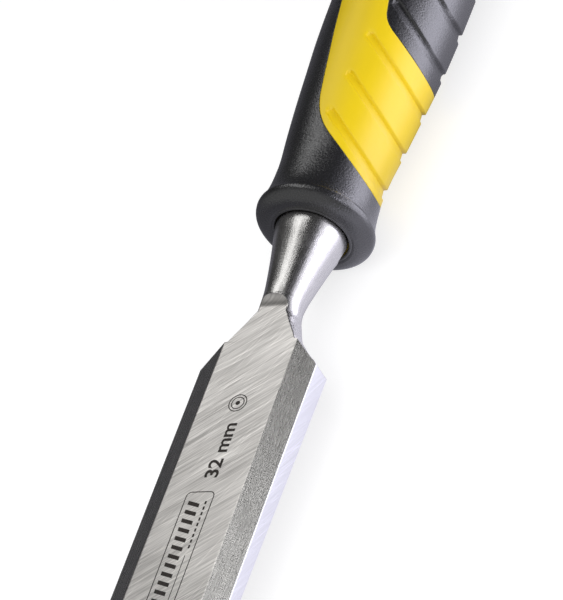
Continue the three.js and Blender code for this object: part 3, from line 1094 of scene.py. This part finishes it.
def make_marks():
    """The blade's width, a plain ring, and a frame with a plain pattern of bars."""
    marks = Etching()
    marks.text(WIDTH_TEXT, 201.7, 186.4, 2.4, -1.3)
    ring = 180.6, 0.3
    marks.add(circle(*ring, 2.45), circle(*ring, 2.2))
    marks.add(circle(*ring, 1.75), circle(*ring, 1.5))
    marks.add(circle(*ring, 0.6))
    marks.add(rounded_box(205.5, -4.2, 246, 3.5, 1.4), rounded_box(205.75, -3.95, 245.75, 3.25, 1.15))
    for k in range(15):
        u = 208.0 + 2.4 * k
        marks.box(u, -2.9, u + 1.05, 0.35, 0.9)
    for k in range(9):
        marks.box(208.2 + 1.5 * k, 1.6, 209.1 + 1.5 * k, 2.1)
    marks.box(223, 1.55, 244, 1.75)
    make_piece("etched_marks", marks.points, marks.faces, [ink], 30)


make_handle()
make_cap()
make_blade()
make_marks()


# ---------------------------------------------------------------- stage, light and camera

FLOOR_Z = min(cad_box("handle_core")[0].z, cad_box("rear_grip")[0].z)


def make_floor():
    """A floor that is plain and pale to the camera. To all other rays it glows in painted light and painted
    shade: dim on the -Y side and under the tool as a painted shadow, with a painted glow beyond the handle's
    +Y side and a painted patch of light under the collar.
    """
    size = 6000
    mesh = bpy.data.meshes.new("floor")
    corners = [(-size, -size, FLOOR_Z), (size, -size, FLOOR_Z), (size, size, FLOOR_Z), (-size, size, FLOOR_Z)]
    mesh.from_pydata((np.array(corners) * MM).tolist(), [], [(0, 1, 2, 3)])
    floor = bpy.data.objects.new("floor", mesh)
    bpy.context.scene.collection.objects.link(floor)
    s = Shader("pale_floor")
    s.set(Base_Color=(0.4, 0.4, 0.4, 1), Roughness=0.9, Specular_IOR_Level=0.1)
    s.set(Emission_Color=(1, 1, 1, 1), Emission_Strength=0.74)
    place = s.node("ShaderNodeSeparateXYZ")
    s.link(s.mapped(), place.inputs[0])
    along, across = place.outputs[0], place.outputs[1]
    # painted light: a glowing strip beyond the handle's +Y side, brightest beside the handle and faint beyond
    # the collar
    glow = s.math("MULTIPLY", s.span(across, 26, 46), s.span(along, 135, 95, 0.2, 2.6))
    glow = s.math("MULTIPLY", glow, s.span(across, 700, 300))
    lit = s.node("ShaderNodeEmission")
    lit.inputs["Color"].default_value = (0.88, 0.87, 1, 1)
    path = s.node("ShaderNodeLightPath")
    # painted shade: the floor is dim on the -Y side and under the tool in reflections and bounce light, a
    # painted shadow of the tool
    near = s.math("MULTIPLY", s.span(across, -60, -5, 0.17, 0.30), s.span(along, 125, 145, 1.0, 1.3))
    # painted light: a patch under the collar and the neck, where the tool's own shadow would fall
    painted_light_under_tool = s.math("MULTIPLY", s.span(across, -6, 8, 0, 0.6), s.span(across, 30, 10))
    painted_light_under_tool = s.math("MULTIPLY", painted_light_under_tool, s.math("MULTIPLY", s.span(along, 85, 105), s.span(along, 165, 145)))
    # painted shadow edge: the floor brightens from 10 mm to 28 mm out on the +Y side
    strength = s.math("ADD", glow, s.math("ADD", near, s.span(across, 10, 28, 0, 0.72)))
    strength = s.math("ADD", strength, painted_light_under_tool)
    # painted reflection: the floor lights the object with only 0.55 of what its reflections show
    strength = s.math("MULTIPLY", strength, s.span(path.outputs["Is Diffuse Ray"], 0, 1, 1.0, 0.55))
    s.link(strength, lit.inputs["Strength"])
    seen = s.node("ShaderNodeMixShader")
    s.link(path.outputs["Is Camera Ray"], seen.inputs[0])
    s.link(lit.outputs[0], seen.inputs[1])
    s.link(s.surface.outputs[0], seen.inputs[2])
    s.link(seen.outputs[0], s.tree.nodes["Material Output"].inputs["Surface"])
    mesh.materials.append(s.material)


def direction(azimuth, elevation):
    """The unit vector towards a place: azimuth 0 lies towards -Y, and 90 towards +X."""
    a, e = math.radians(azimuth), math.radians(elevation)
    return Vector((math.sin(a) * math.cos(e), -math.cos(a) * math.cos(e), math.sin(e)))


# The point that the camera looks at, and how the camera stands to it.
AIM = Vector((147.65, -1.17, 0))
CAMERA_DIRECTION = direction(133.12, 38.80)
CAMERA_DISTANCE = 820.2
CAMERA_ROLL = -34.08
CAMERA_LENS = 209.85

# The tint of the lights at the side.
COOL = (0.87, 0.86, 1.0)


def softbox(name, centre, facing, along, size, radiance, colour=(1, 1, 1)):
    """A rectangular soft light in millimetres. Its first side runs along a vector."""
    light = bpy.data.lights.new(name, "AREA")
    light.shape = "RECTANGLE"
    light.size, light.size_y = size[0] * MM, size[1] * MM
    light.energy = radiance * math.pi * light.size * light.size_y
    light.color = colour
    lamp = bpy.data.objects.new(name, light)
    back = -Vector(facing).normalized()
    first = (Vector(along) - back * back.dot(Vector(along))).normalized()
    axes = Matrix((first, back.cross(first), back)).transposed()
    lamp.matrix_world = Matrix.Translation(Vector(centre) * MM) @ axes.to_4x4()
    bpy.context.scene.collection.objects.link(lamp)
    return lamp


def make_lights():
    high = 1500
    softbox("overhead_box", (-791, -734, high), (0, 0, -1), (1, 1, 0), (1.23 * high, 0.365 * high), 1.75)
    softbox("overhead_wing", (-445, 170, high), (0, 0, -1), (1, 1, 0), (0.17 * high, 0.17 * high), 2.6)
    softbox("overhead_flank", (-947, -1457, high), (0, 0, -1), (1, 1, 0), (0.47 * high, 0.16 * high), 1.6)
    side = direction(200, 6)
    softbox("side_box", AIM + side * 560, -side, (1, 0, 0), (620, 150), 2.7, COOL)
    above = direction(203, 23)
    softbox("side_glow", AIM + above * 640, -above, (1, 0, 0), (1200, 230), 0.65, COOL)
    rear = direction(177, 25)
    softbox("rim_strip", AIM + rear * 600, -rear, (1, 0, 0), (210, 100), 5.0, COOL)
    front = direction(120, 62)
    fill = softbox("front_fill", AIM + front * 900, -front, (0, 1, 0), (900, 700), 2.5)
    fill.visible_glossy = False


def make_world():
    """A dim room, brighter beyond the cutting edge and round the side light, and white to the camera."""
    world = bpy.data.worlds.new("studio")
    bpy.context.scene.world = world
    world.use_nodes = True
    nodes, links = world.node_tree.nodes, world.node_tree.links
    nodes["Background"].inputs["Color"].default_value = (1, 1, 1, 1)
    place = nodes.new("ShaderNodeTexCoord")

    def lobe(centre, start, end, low, high):
        dot = nodes.new("ShaderNodeVectorMath")
        dot.operation = "DOT_PRODUCT"
        dot.inputs[1].default_value = centre
        links.new(place.outputs["Generated"], dot.inputs[0])
        ramp = nodes.new("ShaderNodeMapRange")
        ramp.interpolation_type = "SMOOTHSTEP"
        for socket, number in (("From Min", start), ("From Max", end), ("To Min", low), ("To Max", high)):
            ramp.inputs[socket].default_value = number
        links.new(dot.outputs["Value"], ramp.inputs["Value"])
        return ramp.outputs[0]

    def larger(a, b):
        made = nodes.new("ShaderNodeMath")
        made.operation = "MAXIMUM"
        links.new(a, made.inputs[0])
        links.new(b, made.inputs[1])
        return made.outputs[0]

    front = lobe(direction(75, 5), -0.1, 0.9, 0.05, 0.5)
    side = lobe(direction(197, 4), 0.84, 0.98, 0, 0.7)
    path = nodes.new("ShaderNodeLightPath")
    strength = larger(path.outputs["Is Camera Ray"], larger(front, side))
    links.new(strength, nodes["Background"].inputs["Strength"])


def make_camera():
    data = bpy.data.cameras.new("camera")
    data.sensor_width = 36
    data.lens = CAMERA_LENS
    data.clip_start, data.clip_end = 0.05, 50
    camera = bpy.data.objects.new("camera", data)
    turn = (-CAMERA_DIRECTION).to_track_quat("-Z", "Y")
    roll = Matrix.Rotation(math.radians(CAMERA_ROLL), 4, "Z")
    place = Matrix.Translation((AIM + CAMERA_DIRECTION * CAMERA_DISTANCE) * MM)
    camera.matrix_world = place @ turn.to_matrix().to_4x4() @ roll
    bpy.context.scene.collection.objects.link(camera)
    bpy.context.scene.camera = camera


make_floor()
make_lights()
make_world()
make_camera()
bpy.context.scene.view_settings.view_transform = "Standard"
